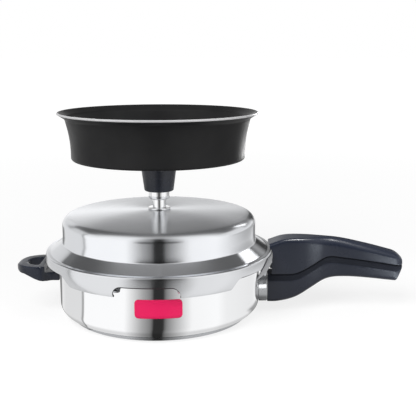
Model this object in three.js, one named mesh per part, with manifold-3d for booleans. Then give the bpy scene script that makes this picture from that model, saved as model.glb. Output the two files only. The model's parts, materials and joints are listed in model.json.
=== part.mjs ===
// A stovetop pressure pan: a pot with a sandwich base, an outer bayonet lid with a regulator weight,
// a long two-part handle, a short loop handle, and a shallow dark pan that stands on the weight.
// Millimetres, +Z up. The origin lies on the pot's axis, in the plane that the base stands on.
// The long handle points along +X, and the loop handle along -X.
import * as THREE from "three";
import { mergeVertices } from "three/addons/utils/BufferGeometryUtils.js";
import Module from "manifold-3d";

const wasm = await Module();
wasm.setup();

// Fits
const seat = 0.3; // between two pieces that touch
const handleGap = 0.8; // between the two halves of the long handle, which slide past each other
const sweepGap = 1.8; // round the path of the lid's skirt
const holeGap = 0.4; // round a screw, all the way along

// Pot
const potRadius = 100; // outside of the wall
const potHeight = 60; // rim face above the base plane
const potSheet = 1.6;
const potCorner = 11;
const rimLand = 2.3; // rim left outside the wall between two petals
const petalReach = 5.5; // petals outside the wall
const petalDrop = 10.5; // turned-down edge of a petal
const petalAngle = 28; // degrees

// Sandwich base
const baseInset = 11; // from the wall to the base's edge
const baseHeight = 4.2;
const baseRound = 1.2;
const coverSheet = 0.8;
const coverBelow = 1.2; // cover's edge below the pot's floor

// Lid, whose lugs lie under the petals while it is shut
const lugCount = 6;
const lugAngle = 27.5; // degrees
const lugPhase = -3; // azimuth of the lug beside the long handle, degrees
const lugPlay = 1.9; // lug below its petal
const lugGap = 0.7; // lug's edge to the rim between petals
const archRise = 10; // edge between two lugs above the lugs' edge
const archCorner = 9.5;
const lidSheet = 1.6;
const skirtGap = 5.7; // petal to the inside of the skirt
const skirtTuck = 5.7; // how far a lug's edge tucks in
const skirtCurl = 14; // height over which it does
const creaseRise = 6.6; // flange's edge above the rim face
const creaseRound = 1.8;
const flangeRise = 8.6;
const flangeFillet = 3;
const lidInset = 4.3; // lid's wall inside the pot's
const lidWallHeight = 24.6;
const shoulderRound = 8.5;
const domeRise = 5.4;
const domeFlat = 15; // radius of the level seat in the middle
const domeRings = 2; // creases of the dome between there and the shoulder
const gasketLap = 2; // gasket past the petals

// Vent tube and its fastening
const ventBore = 1.6;
const ventStem = 4.2;
const ventStemHeight = 14;
const ventBody = 6.5;
const ventBodyHeight = 8.5;
const ventFoot = 11;
const ventFootHeight = 1.4;
const ventShank = 4.7;
const washerWidth = 3.6;
const washerHeight = 1.2;
const nutFlats = 17;
const nutHeight = 4.5;
const threadEnd = 1; // shank past its nut

// Safety plug, behind the vent
const plugAway = 60; // from the axis
const plugAzimuth = 94; // degrees
const plugHead = 6.8;
const plugHeadHeight = 3.2;
const plugShank = 4;
const plugNutFlats = 13;
const slugRadius = 2;

// Regulator weight
const stemPlay = 0.8; // weight's bore round the stem
const needleRadius = 2.2;
const needleShank = 9;
const needlePoint = 5;
const needleDip = 1.5; // point below the stem's top
const needleFree = 3.4; // room over the stem
const weightSkirt = 10.4;
const weightSkirtHeight = 7.6;
const weightNeck = 8.8;
const weightNeckHeight = 24.5;
const capFoot = 14.4;
const capTop = 18.7;
const capHeight = 31.9;
const capRound = 1.5;

// Dark pan
const panRadius = 85; // outside, at the bottom
const panCorner = 2.8;
const panSheet = 1.8;
const panStraight = 19; // height of the upright part of the wall
const panFlareHeight = 20.9;
const panFlare = 5.1; // how far the wall leans out over that height
const panRimReach = 7.3;
const panRimRise = 4.6;
const panBend = 84; // radius of the wall's bend where it starts to lean out

// Long handle: distances along it from the pot's wall, heights from the rim face
const handleReach = 143.8;
const bendStart = 36.5; // where the line between the halves starts to climb
const bendEnd = 68;
const splitRoot = -19.8;
const splitEase = 1; // climb of the line before the bend
const splitGrip = -2.6;
const splitSag = 0.6; // fall of the line just after the bend
const splitTip = -11.5;
const hoodLap = 3; // lid half over the lid's flange
const hoodRise = 11.2;
const crownAlong = 47;
const crownRise = 17;
const crownEase = 1.2; // crown's curve, half way to its highest place
const gripRise = 16; // lid half just past the bend
const gripFall = 6.4; // fall of the lid half from there to the middle of the grip
const tipRise = -0.8;
const noseLength = 10;
const noseDrop = 5.8;
const noseNarrowing = 0.55; // share of the half width that the nose loses
const rootDepth = -48; // underside of the pot half at the pot
const rootSag = 0.2;
const bellyEase = 4.4; // climb of the underside before the bend
const bellyBow = 1.3; // underside above a straight line in the bend
const bellyHook = 2.3; // underside below its highest place at the end of the bend
const gripDepth = -23.1;
const tipDepth = -27.5;
const heelLength = 7;
const heelPower = 1.5; // how late the heel turns up
const heelEdge = 1.5; // pot half left at its very end
const rootHalf = 13.5; // half widths
const waistHalf = 11.6;
const gripHalf = 12.6;
const hoodRound = 3.2; // upper edges of the lid half, beside the lid
const gripRound = 9; // the same, along the grip
const bellyRound = 4.5; // lower edges of the pot half
const splitRound = 1; // long edges along the split

// Fastening of the long handle
const guardLength = 8.2;
const guardWidth = 24;
const guardHeight = 26.4;
const guardRound = 10;
const guardSheet = 1.2;
const guardDrop = 37.2; // middle of the guard below the rim face
const padThick = 3;
const padHalf = 8;
const barHalf = 6;
const barThick = 3;
const barReach = 38;
const barScrewAlong = 28;
const strapHalf = 9;
const strapSheet = 1.6;
const strapTop = 2.5; // strap's upper edge below the flange's edge
const tailDrop = 8; // strap's tail below the lugs
const tailTuck = 1.5;
const tongueHalf = 7;
const tongueThick = 2.5;
const tongueReach = 36;
const tongueDrop = 8; // tongue below the rim face
const tongueScrewAlong = 24;
const screwRadius = 2;
const screwHead = 3.8;
const screwHeadHeight = 2.6;
const screwRecess = 1.4; // head inside its handle
const screwGrip = 6; // thread past the metal it holds

// Loop handle: distances along it from the pot's wall, heights from the rim face
const loopReach = 43.5;
const loopHalf = 25;
const loopRoot = 19.5; // solid part, beside the pot
const loopNeck = 4; // narrow part of it, from the pot's wall
const loopNeckHalf = 17;
const loopBar = 10.5; // width of the bar round the finger hole
const loopTopDrop = 8.8;
const loopRootDrop = 24.5;
const loopTipDrop = 16.8;
const loopNose = 8;
const loopBarDrop = 18.8; // middle of its fixing bar
const loopBarThick = 2;
const loopBarReach = 15;
const loopScrewAlong = 9.5;
const loopScrewEnd = 1; // thread past the bar

// Mesh fineness
const round = 48; // sides of the large turned pieces
const roundSmall = 16; // sides of the small ones
const cornerSteps = 2; // steps in a rounded corner
const gripStations = 18;
const stationBias = 1.35; // stations closer together towards the tip
const roundShare = 0.8; // largest edge radius, as a share of half a section
const weldDistance = 1e-4;

// Heights and radii that follow from these
const baseRadius = potRadius - baseInset;
const petalRadius = potRadius + petalReach;
const petalFoot = potHeight - petalDrop;
const lugInner = potRadius + rimLand + lugGap;
const lugFoot = petalFoot - lugPlay - lidSheet;
const archFoot = lugFoot + archRise;
const curlTop = lugFoot + skirtCurl;
const curlRadius = (skirtCurl ** 2 + skirtTuck ** 2) / (2 * skirtTuck);
const skirtRadius = petalRadius + skirtGap + lidSheet;
const creaseZ = potHeight + creaseRise;
const flangeZ = creaseZ + flangeRise;
const lidRadius = potRadius - lidInset;
const lidEdgeZ = flangeZ + lidWallHeight;
const lidTopZ = lidEdgeZ + domeRise;
const ventBodyTop = lidTopZ + seat + ventFootHeight + ventBodyHeight;
const ventTop = ventBodyTop + ventStemHeight;
const weightFoot = ventBodyTop + seat;
const weightShoulder = weightFoot + weightSkirtHeight;
const capFootZ = weightShoulder + seat;
const capTopZ = capFootZ + capHeight;
const panFloorZ = capTopZ + seat;
const tipX = potRadius + handleReach;
const loopTipX = potRadius + loopReach;

// A point of an outline: distance from the axis, or along it, and height.
function at(x, z) {
  return new THREE.Vector2(x, z);
}

// A solid for joining and cutting, from any closed geometry.
function toSolid(geometry) {
  const bare = new THREE.BufferGeometry();
  bare.setAttribute("position", geometry.getAttribute("position"));
  bare.setIndex(geometry.getIndex());
  const merged = mergeVertices(bare, weldDistance);
  const index = merged.getIndex().array;
  const triangles = [];
  for (let i = 0; i < index.length; i += 3) {
    const [a, b, c] = index.slice(i, i + 3);
    if (a !== b && b !== c && c !== a) triangles.push(a, b, c);
  }
  return new wasm.Manifold(
    new wasm.Mesh({
      numProp: 3,
      vertProperties: merged.getAttribute("position").array,
      triVerts: new Uint32Array(triangles),
    }),
  );
}

// The geometry of a solid.
function toGeometry(solid) {
  const mesh = solid.getMesh();
  const geometry = new THREE.BufferGeometry();
  geometry.setAttribute("position", new THREE.BufferAttribute(mesh.vertProperties, 3));
  geometry.setIndex(new THREE.BufferAttribute(mesh.triVerts, 1));
  geometry.computeVertexNormals();
  return geometry;
}

// Replaces the corners of a line by arcs. Each entry is a point and, where it is round, its radius.
function rounded(corners) {
  const line = [];
  corners.forEach(([point, radius], i) => {
    if (!radius) {
      line.push(point);
      return;
    }
    const back = corners[i - 1][0].clone().sub(point).normalize();
    const onward = corners[i + 1][0].clone().sub(point).normalize();
    const half = Math.acos(THREE.MathUtils.clamp(back.dot(onward), -1, 1)) / 2;
    const middle = back.clone().add(onward).normalize();
    const centre = point.clone().addScaledVector(middle, radius / Math.sin(half));
    const first = point.clone().addScaledVector(back, radius / Math.tan(half)).sub(centre);
    const last = point.clone().addScaledVector(onward, radius / Math.tan(half)).sub(centre);
    const turn = Math.atan2(first.cross(last), first.dot(last));
    for (let step = 0; step <= cornerSteps; step += 1) {
      const spoke = first.clone().rotateAround(at(0, 0), (turn * step) / cornerSteps);
      line.push(centre.clone().add(spoke));
    }
  });
  return line;
}

// Points of an arc about a centre, angles in degrees.
function arc(centre, radius, from, to, steps) {
  return Array.from({ length: steps + 1 }, (_, i) => {
    const angle = THREE.MathUtils.degToRad(from + ((to - from) * i) / steps);
    return at(centre.x + radius * Math.cos(angle), centre.y + radius * Math.sin(angle));
  });
}

// Moves a line sideways, to its left for a positive distance.
function offset(line, distance) {
  const normals = line.slice(1).map((point, i) => {
    const along = point.clone().sub(line[i]).normalize();
    return at(-along.y, along.x);
  });
  return line.map((point, i) => {
    const before = normals[Math.max(i - 1, 0)];
    const after = normals[Math.min(i, normals.length - 1)];
    const mitre = before.clone().add(after).divideScalar(1 + before.dot(after));
    return point.clone().addScaledVector(mitre, distance);
  });
}

// The outline of a sheet that has a line for its one face.
function sheet(line, thickness) {
  return [...line, ...offset(line, thickness).reverse()];
}

// Turns an outline round the Z axis. It starts and ends on the axis or closes on itself.
function turned(outline, sides) {
  const points = THREE.ShapeUtils.area(outline) > 0 ? [...outline] : [...outline].reverse();
  if (points.every((point) => point.x > 0)) points.push(points[0].clone());
  return toSolid(new THREE.LatheGeometry(points, sides).rotateX(Math.PI / 2));
}

// A cylinder along Z.
function drum(radius, low, high, sides) {
  return turned([at(0, low), at(radius, low), at(radius, high), at(0, high)], sides);
}

// A block between two corners.
function block(low, high) {
  const size = new THREE.Vector3().subVectors(high, low);
  const middle = new THREE.Vector3().addVectors(low, high).divideScalar(2);
  return toSolid(new THREE.BoxGeometry(size.x, size.y, size.z).translate(middle.x, middle.y, middle.z));
}

// A block from one X to another, centred on a height and on the XZ plane.
function bar(fromX, toX, half, middleZ, thickness) {
  return block(
    new THREE.Vector3(Math.min(fromX, toX), -half, middleZ - thickness / 2),
    new THREE.Vector3(Math.max(fromX, toX), half, middleZ + thickness / 2),
  );
}

// A shape in the XY plane, raised from one height to another.
function raised(shape, low, high) {
  const settings = { depth: high - low, bevelEnabled: false, curveSegments: roundSmall / 2 };
  return toSolid(new THREE.ExtrudeGeometry(shape, settings).translate(0, 0, low));
}

// A shape in the YZ plane, drawn along X and then turned about Z by an azimuth in degrees.
function drawn(shape, fromX, toX, azimuth = 0) {
  const settings = { depth: toX - fromX, bevelEnabled: false, curveSegments: roundSmall / 4 };
  const axes = new THREE.Matrix4().makeBasis(
    new THREE.Vector3(0, 1, 0),
    new THREE.Vector3(0, 0, 1),
    new THREE.Vector3(1, 0, 0),
  );
  const geometry = new THREE.ExtrudeGeometry(shape, settings).translate(0, 0, fromX).applyMatrix4(axes);
  return toSolid(geometry.rotateZ(THREE.MathUtils.degToRad(azimuth)));
}

// A shape in the XZ plane, as thick as twice a half width.
function cheek(shape, half) {
  const settings = { depth: 2 * half, bevelEnabled: false, curveSegments: roundSmall / 4 };
  return toSolid(new THREE.ExtrudeGeometry(shape, settings).translate(0, 0, -half).rotateX(Math.PI / 2));
}

// A rectangle with round corners about a middle.
function roundedRectangle(width, height, radius, middleY = 0) {
  const corner = Math.min(radius, width / 2, height / 2);
  const [x, y] = [width / 2 - corner, height / 2 - corner];
  const shape = new THREE.Shape();
  shape.absarc(x, middleY + y, corner, 0, Math.PI / 2);
  shape.absarc(-x, middleY + y, corner, Math.PI / 2, Math.PI);
  shape.absarc(-x, middleY - y, corner, Math.PI, 1.5 * Math.PI);
  shape.absarc(x, middleY - y, corner, 1.5 * Math.PI, 2 * Math.PI);
  shape.closePath();
  return shape;
}

// A hexagon nut with its upper face at a height.
function nut(flats, hole, top, height) {
  const corners = arc(at(0, 0), flats / Math.sqrt(3), 0, 300, 5);
  const shape = new THREE.Shape(corners);
  shape.holes.push(new THREE.Path().absarc(0, 0, hole, 0, 2 * Math.PI, true));
  return raised(shape, top - height, top);
}

// A flat ring with its upper face at a height.
function washer(inner, outer, top, height) {
  return turned(
    [at(inner, top - height), at(outer, top - height), at(outer, top), at(inner, top)],
    roundSmall,
  );
}

// A dome-headed screw that stands head down, from the head's lower face to the end of its shank.
function screwOutline(low, high, clearance = 0) {
  const neck = low + screwHeadHeight + clearance;
  const [head, shank] = [screwHead + clearance, screwRadius + clearance];
  return [at(0, low), at(head, low), at(head, neck), at(shank, neck), at(shank, high), at(0, high)];
}

function screw(x, low, high) {
  return turned(screwOutline(low, high), roundSmall).translate(x, 0, 0);
}

// The hole for such a screw, which runs on below its head.
function screwHole(x, low, high, below) {
  const hole = turned(screwOutline(low, high + holeGap, holeGap), roundSmall);
  const way = drum(screwHead + holeGap, below, low, roundSmall);
  return hole.add(way).translate(x, 0, 0);
}

// A smooth height, or half width, along X through a list of places.
function guide(places) {
  const along = places.map(([x]) => x);
  const values = places.map(([, value]) => value);
  const curve = new THREE.CubicInterpolant(along, values, 1, new Float64Array(1));
  return (x) => curve.evaluate(x)[0];
}

// How far a place lies into the last stretch before an end, from 0 to 1.
function into(x, end, stretch) {
  return THREE.MathUtils.clamp((x - end + stretch) / stretch, 0, 1);
}

// The drop of a round nose at such a place.
function nose(u) {
  return 1 - Math.sqrt(Math.max(0, 1 - u * u));
}

// Joins rings of equally many points into a closed skin.
function skinned(rings) {
  const count = rings[0].length;
  const points = rings.flat();
  const index = [];
  for (let ring = 0; ring + 1 < rings.length; ring += 1) {
    for (let i = 0; i < count; i += 1) {
      const [a, b] = [ring * count + i, ring * count + ((i + 1) % count)];
      index.push(a, b, a + count, b, b + count, a + count);
    }
  }
  const last = (rings.length - 1) * count;
  for (let i = 1; i + 1 < count; i += 1) {
    index.push(0, i + 1, i, last, last + i, last + i + 1);
  }
  const geometry = new THREE.BufferGeometry().setFromPoints(points);
  geometry.setIndex(index);
  return toSolid(geometry);
}

// Half widths along the long handle, the same for both halves.
const gripWidth = guide([
  [potRadius, rootHalf],
  [potRadius + bendStart, rootHalf],
  [potRadius + bendEnd, waistHalf],
  [(potRadius + bendEnd + tipX) / 2, gripHalf],
  [tipX, gripHalf],
]);

// The line between the two halves.
const split = guide([
  [potRadius, potHeight + splitRoot],
  [potRadius + bendStart / 2, potHeight + splitRoot],
  [potRadius + bendStart, potHeight + splitRoot + splitEase],
  [potRadius + (bendStart + bendEnd) / 2, potHeight + (splitRoot + splitGrip) / 2],
  [potRadius + bendEnd, potHeight + splitGrip],
  [potRadius + bendEnd + (bendEnd - bendStart) / 2, potHeight + splitGrip - splitSag],
  [tipX, potHeight + splitTip],
]);

// The upper face of the lid half.
const gripCrown = guide([
  [skirtRadius - hoodLap, potHeight + hoodRise],
  [potRadius + crownAlong / 2, potHeight + crownRise - crownEase],
  [potRadius + crownAlong, potHeight + crownRise],
  [potRadius + bendEnd + (bendEnd - bendStart) / 4, potHeight + gripRise],
  [(potRadius + bendEnd + tipX) / 2, potHeight + gripRise - gripFall],
  [tipX, potHeight + tipRise],
]);

// The lower face of the pot half.
const gripBelly = guide([
  [potRadius, potHeight + rootDepth],
  [potRadius + bendStart / 2, potHeight + rootDepth - rootSag],
  [potRadius + bendStart, potHeight + rootDepth + bellyEase],
  [potRadius + (bendStart + bendEnd) / 2, potHeight + (rootDepth + gripDepth) / 2 + bellyBow],
  [potRadius + bendEnd, potHeight + gripDepth - bellyHook],
  [potRadius + bendEnd + (bendEnd - bendStart) / 2, potHeight + gripDepth],
  [tipX, potHeight + tipDepth],
]);

// The radius of the lid half's upper edges.
const crownRound = guide([
  [potRadius, hoodRound],
  [potRadius + bendStart, hoodRound],
  [potRadius + bendEnd, gripRound],
  [tipX, gripRound],
]);

// The radius of the edges along the split.
function partingRound() {
  return splitRound;
}

// One half of the long handle, between two faces, with the radii of its upper and lower edges.
function gripHalfSolid(fromX, upper, lower, upperRound, lowerRound) {
  const rings = [];
  for (let station = 0; station <= gripStations; station += 1) {
    const share = station / gripStations;
    const x = tipX - (tipX - fromX) * (1 - share) ** stationBias;
    const half = gripWidth(x) * (1 - noseNarrowing * nose(into(x, tipX, noseLength)));
    const [top, foot] = [upper(x), lower(x)];
    const most = Math.min(half, (top - foot) / 2) * roundShare;
    const [high, low] = [Math.min(upperRound(x), most), Math.min(lowerRound(x), most)];
    const section = [
      ...arc(at(-half + low, foot + low), low, 180, 270, cornerSteps),
      ...arc(at(half - low, foot + low), low, 270, 360, cornerSteps),
      ...arc(at(half - high, top - high), high, 0, 90, cornerSteps),
      ...arc(at(-half + high, top - high), high, 90, 180, cornerSteps),
    ];
    rings.push(section.map((point) => new THREE.Vector3(x, point.x, point.y)));
  }
  return skinned(rings);
}

// Pot: one sheet from the floor to the turned-down petals, notched between them.
function potBody() {
  const line = rounded([
    [at(0, baseHeight)],
    [at(potRadius, baseHeight), potCorner],
    [at(potRadius, potHeight - potSheet)],
    [at(petalRadius - potSheet, potHeight - potSheet)],
    [at(petalRadius - potSheet, petalFoot)],
  ]);
  let pot = turned(sheet(line, potSheet), round);
  const pitch = 360 / lugCount;
  const half = THREE.MathUtils.degToRad((pitch - petalAngle) / 2);
  const notch = new THREE.Shape();
  notch.absarc(0, 0, petalRadius + 2 * petalReach, -half, half);
  notch.absarc(0, 0, potRadius + rimLand, half, -half, true);
  notch.closePath();
  const cutter = raised(notch, petalFoot - petalDrop, potHeight + petalDrop);
  for (let lug = 0; lug < lugCount; lug += 1) {
    pot = pot.subtract(cutter.rotate([0, 0, lugPhase + pitch * (lug + 0.5)]));
  }
  return pot;
}

function baseCover() {
  const line = rounded([
    [at(0, 0)],
    [at(baseRadius, 0), baseRound],
    [at(baseRadius, baseHeight - coverBelow)],
  ]);
  return turned(sheet(line, coverSheet), round);
}

function baseCore() {
  const bevel = baseRound;
  const [radius, low, high] = [baseRadius - coverSheet - seat, coverSheet + seat, baseHeight - seat];
  return turned(
    [at(0, low), at(radius - bevel, low), at(radius, low + bevel), at(radius, high), at(0, high)],
    round,
  );
}

// The outside of the lid from the dome's flat to the flange's edge.
function lidRoof(fromRadius) {
  const dome = Array.from({ length: domeRings }, (_, i) => {
    const share = (i + 1) / (domeRings + 1);
    return [at(domeFlat + (lidRadius - domeFlat) * share, lidTopZ - domeRise * share ** 2)];
  });
  return [
    [at(fromRadius, lidTopZ)],
    [at(domeFlat, lidTopZ)],
    ...dome,
    [at(lidRadius, lidEdgeZ), shoulderRound],
    [at(lidRadius, flangeZ), flangeFillet],
  ];
}

// The outside of the skirt's tucked-in lower part, or a line beside it.
function skirtArc(away) {
  const centre = at(skirtRadius - curlRadius, curlTop);
  const end = THREE.MathUtils.radToDeg(Math.asin(skirtCurl / curlRadius));
  return arc(centre, curlRadius + away, 0, -end, cornerSteps + 1);
}

// Lid: one sheet from the vent's hole to the lugs, arched between them.
function lidShell(plugFrame) {
  const roof = rounded([
    ...lidRoof(ventShank + seat),
    [at(skirtRadius, creaseZ), creaseRound],
    [at(skirtRadius, curlTop)],
  ]);
  const line = [...roof.slice(0, -1), ...skirtArc(0), at(lugInner, lugFoot)];
  let lid = turned(sheet(line, -lidSheet), round);
  const pitch = 360 / lugCount;
  const width = 2 * skirtRadius * Math.sin(THREE.MathUtils.degToRad((pitch - lugAngle) / 2));
  const depth = 2 * archRise;
  const arch = roundedRectangle(width, 2 * depth, Math.min(archCorner, archRise), archFoot - depth);
  const inside = lugInner * Math.cos(THREE.MathUtils.degToRad(pitch / 2)) - lidSheet;
  for (let lug = 0; lug < lugCount; lug += 1) {
    const azimuth = lugPhase + pitch * (lug + 0.5);
    lid = lid.subtract(drawn(arch, inside, skirtRadius + lidSheet, azimuth));
  }
  const hole = drum(plugShank + seat, -2 * lidSheet, 2 * lidSheet, roundSmall);
  return lid.subtract(hole.transform(plugFrame.elements));
}

// Gasket: fills the corner between the rim face and the underside of the flange.
function gasket() {
  const slope = flangeRise / (skirtRadius - lidRadius);
  const down = (lidSheet + seat) * Math.hypot(1, slope);
  const under = (radius) => creaseZ + (skirtRadius - radius) * slope - down;
  const [inner, outer, low] = [potRadius - potSheet, petalRadius + gasketLap, potHeight + seat];
  return turned([at(inner, low), at(outer, low), at(outer, under(outer)), at(inner, under(inner))], round);
}

function ventTube() {
  const foot = lidTopZ + seat;
  const end = lidTopZ - lidSheet - washerHeight - nutHeight - 2 * seat - threadEnd;
  return turned(
    [
      at(ventBore, end),
      at(ventShank, end),
      at(ventShank, foot),
      at(ventFoot, foot),
      at(ventFoot, foot + ventFootHeight),
      at(ventBody, foot + ventFootHeight),
      at(ventBody, ventBodyTop),
      at(ventStem, ventBodyTop),
      at(ventStem, ventTop),
      at(ventBore, ventTop),
    ],
    roundSmall,
  );
}

// Safety plug about its own axis, with its seat on the lid at height 0.
function plugBody() {
  const end = -lidSheet - washerHeight - nutHeight - 2 * seat - threadEnd;
  return turned(
    [
      at(slugRadius + seat, end),
      at(plugShank, end),
      at(plugShank, seat),
      at(plugHead, seat),
      at(plugHead, seat + plugHeadHeight),
      at(slugRadius + seat, seat + plugHeadHeight),
    ],
    roundSmall,
  );
}

// Where the plug stands: on the dome, square to it.
function plugPlace() {
  const share = (plugAway - domeFlat) / (lidRadius - domeFlat);
  const azimuth = THREE.MathUtils.degToRad(plugAzimuth);
  const group = new THREE.Group();
  const [x, y] = [plugAway * Math.cos(azimuth), plugAway * Math.sin(azimuth)];
  group.position.set(x, y, lidTopZ - domeRise * share ** 2);
  const lean = Math.atan((2 * domeRise * share) / (lidRadius - domeFlat));
  group.rotation.set(0, lean, azimuth, "ZYX");
  group.updateMatrix();
  return group;
}

function weightCore() {
  const bore = ventStem + stemPlay;
  const roof = ventTop + needleFree;
  const socket = needleRadius + seat;
  const top = weightShoulder + weightNeckHeight;
  return turned(
    [
      at(0, roof + needleShank + seat),
      at(socket, roof + needleShank + seat),
      at(socket, roof),
      at(bore, roof),
      at(bore, weightFoot),
      at(weightSkirt, weightFoot),
      at(weightSkirt, weightShoulder),
      at(weightNeck, weightShoulder),
      at(weightNeck, top),
      at(0, top),
    ],
    roundSmall,
  );
}

function weightNeedle() {
  const tip = ventTop - needleDip;
  const end = ventTop + needleFree + needleShank;
  return turned(
    [at(0, tip), at(needleRadius, tip + needlePoint), at(needleRadius, end), at(0, end)],
    roundSmall,
  );
}

function weightCap() {
  const [inner, roof] = [weightNeck + seat, weightShoulder + weightNeckHeight + seat];
  const outside = rounded([
    [at(inner, capFootZ)],
    [at(capFoot, capFootZ), capRound],
    [at(capTop, capTopZ), capRound],
    [at(0, capTopZ)],
  ]);
  return turned([at(0, roof), at(inner, roof), ...outside], 2 * roundSmall);
}

function innerPan() {
  const flareZ = panFloorZ + panStraight;
  const edge = flareZ + panFlareHeight;
  const line = rounded([
    [at(0, panFloorZ)],
    [at(panRadius, panFloorZ), panCorner],
    [at(panRadius, flareZ), panBend],
    [at(panRadius + panFlare, edge), panCorner / 2],
    [at(panRadius + panFlare + panRimReach, edge + panRimRise)],
  ]);
  return turned(sheet(line, panSheet), round);
}

// What the pot's wall keeps free round itself.
function potSweep() {
  return drum(potRadius + seat, -potHeight, 2 * potHeight, round);
}

const guardZ = potHeight - guardDrop;

function potHandleBracket() {
  const pad = bar(potRadius / 2, potRadius + padThick, padHalf, guardZ, 2 * padHalf);
  const tongue = bar(potRadius / 2, potRadius + barReach, barHalf, guardZ, barThick);
  const hole = drum(screwRadius + holeGap, guardZ - barThick, guardZ + barThick, roundSmall);
  return pad
    .add(tongue)
    .subtract(potSweep())
    .subtract(hole.translate(potRadius + barScrewAlong, 0, 0));
}

function flameGuard() {
  const shape = roundedRectangle(guardWidth, guardHeight, guardRound, guardZ);
  const [width, height] = [guardWidth - 2 * guardSheet, guardHeight - 2 * guardSheet];
  shape.holes.push(roundedRectangle(width, height, guardRound - guardSheet, guardZ));
  return drawn(shape, potRadius / 2, potRadius + guardLength).subtract(potSweep());
}

const barScrewX = potRadius + barScrewAlong;
const barScrewLow = gripBelly(barScrewX) + screwRecess;
const barScrewHigh = guardZ + barThick / 2 + screwGrip;

function potHandle() {
  const from = potRadius + guardLength + seat;
  const upper = (x) => split(x) - handleGap / 2;
  const heel = (x) => into(x, tipX, heelLength) ** heelPower;
  const lower = (x) => THREE.MathUtils.lerp(gripBelly(x), upper(x) - heelEdge, heel(x));
  const slotEnd = potRadius + barReach + seat;
  const slot = bar(from - barThick, slotEnd, barHalf + seat, guardZ, barThick + 2 * seat);
  return gripHalfSolid(from, upper, lower, partingRound, () => bellyRound)
    .subtract(slot)
    .subtract(screwHole(barScrewX, barScrewLow, barScrewHigh, barScrewLow - potHeight));
}

const tongueZ = potHeight - tongueDrop;

// Strap that lies against the skirt beside one lug, with a tail below it and a tongue into the handle.
function lidHandleBracket() {
  const line = [
    at(skirtRadius + seat, creaseZ - strapTop),
    ...skirtArc(seat),
    at(skirtRadius - skirtTuck - tailTuck, lugFoot - tailDrop),
  ];
  const ring = turned(sheet(line, strapSheet), round);
  const window = block(
    new THREE.Vector3(potRadius / 2, -strapHalf, lugFoot - 2 * tailDrop),
    new THREE.Vector3(tipX, strapHalf, creaseZ),
  );
  const tongue = bar(potRadius, skirtRadius + tongueReach, tongueHalf, tongueZ, tongueThick);
  const inside = turned(
    [at(0, 0), ...[...offset(line, strapSheet / 2)].reverse(), at(0, creaseZ)],
    round,
  );
  const hole = drum(screwRadius + holeGap, tongueZ - tongueThick, tongueZ + tongueThick, roundSmall);
  return ring
    .intersect(window)
    .add(tongue.subtract(inside))
    .subtract(hole.translate(skirtRadius + tongueScrewAlong, 0, 0));
}

const tongueScrewX = skirtRadius + tongueScrewAlong;
const tongueScrewLow = split(tongueScrewX) + handleGap / 2 + screwRecess;
const tongueScrewHigh = tongueZ + tongueThick / 2 + screwGrip;

function lidHandle() {
  const from = skirtRadius - hoodLap;
  const lower = (x) => split(x) + handleGap / 2;
  const upper = (x) => gripCrown(x) - noseDrop * nose(into(x, tipX, noseLength));
  const outside = rounded([
    ...lidRoof(0),
    [at(skirtRadius, creaseZ), creaseRound],
    [at(skirtRadius, -potHeight)],
  ]);
  const lidRoom = turned([...offset(outside, seat), at(0, -potHeight)], round);
  const strapRoom = block(
    new THREE.Vector3(potRadius, -strapHalf - seat, 0),
    new THREE.Vector3(skirtRadius + strapSheet + 2 * seat, strapHalf + seat, creaseZ - strapTop + seat),
  );
  const slot = bar(
    potRadius,
    skirtRadius + tongueReach + seat,
    tongueHalf + seat,
    tongueZ,
    tongueThick + 2 * seat,
  );
  return gripHalfSolid(from, upper, lower, crownRound, partingRound)
    .subtract(lidRoom)
    .subtract(strapRoom)
    .subtract(slot)
    .subtract(screwHole(tongueScrewX, tongueScrewLow, tongueScrewHigh, 0));
}

const loopBarZ = potHeight - loopBarDrop;
const loopScrewX = -potRadius - loopScrewAlong;
const loopScrewLow = potHeight - loopRootDrop + screwRecess / 2;
const loopScrewHigh = loopBarZ + loopBarThick / 2 + loopScrewEnd;

function sideHandleBracket() {
  const pad = bar(-potRadius / 2, -potRadius - padThick / 2, padHalf, loopBarZ, 2 * padThick);
  const tongue = bar(-potRadius / 2, -potRadius - loopBarReach, barHalf, loopBarZ, loopBarThick);
  const hole = drum(screwRadius + holeGap, loopBarZ - loopBarThick, loopBarZ + loopBarThick, roundSmall);
  return pad
    .add(tongue)
    .subtract(potSweep())
    .subtract(hole.translate(loopScrewX, 0, 0));
}

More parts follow.
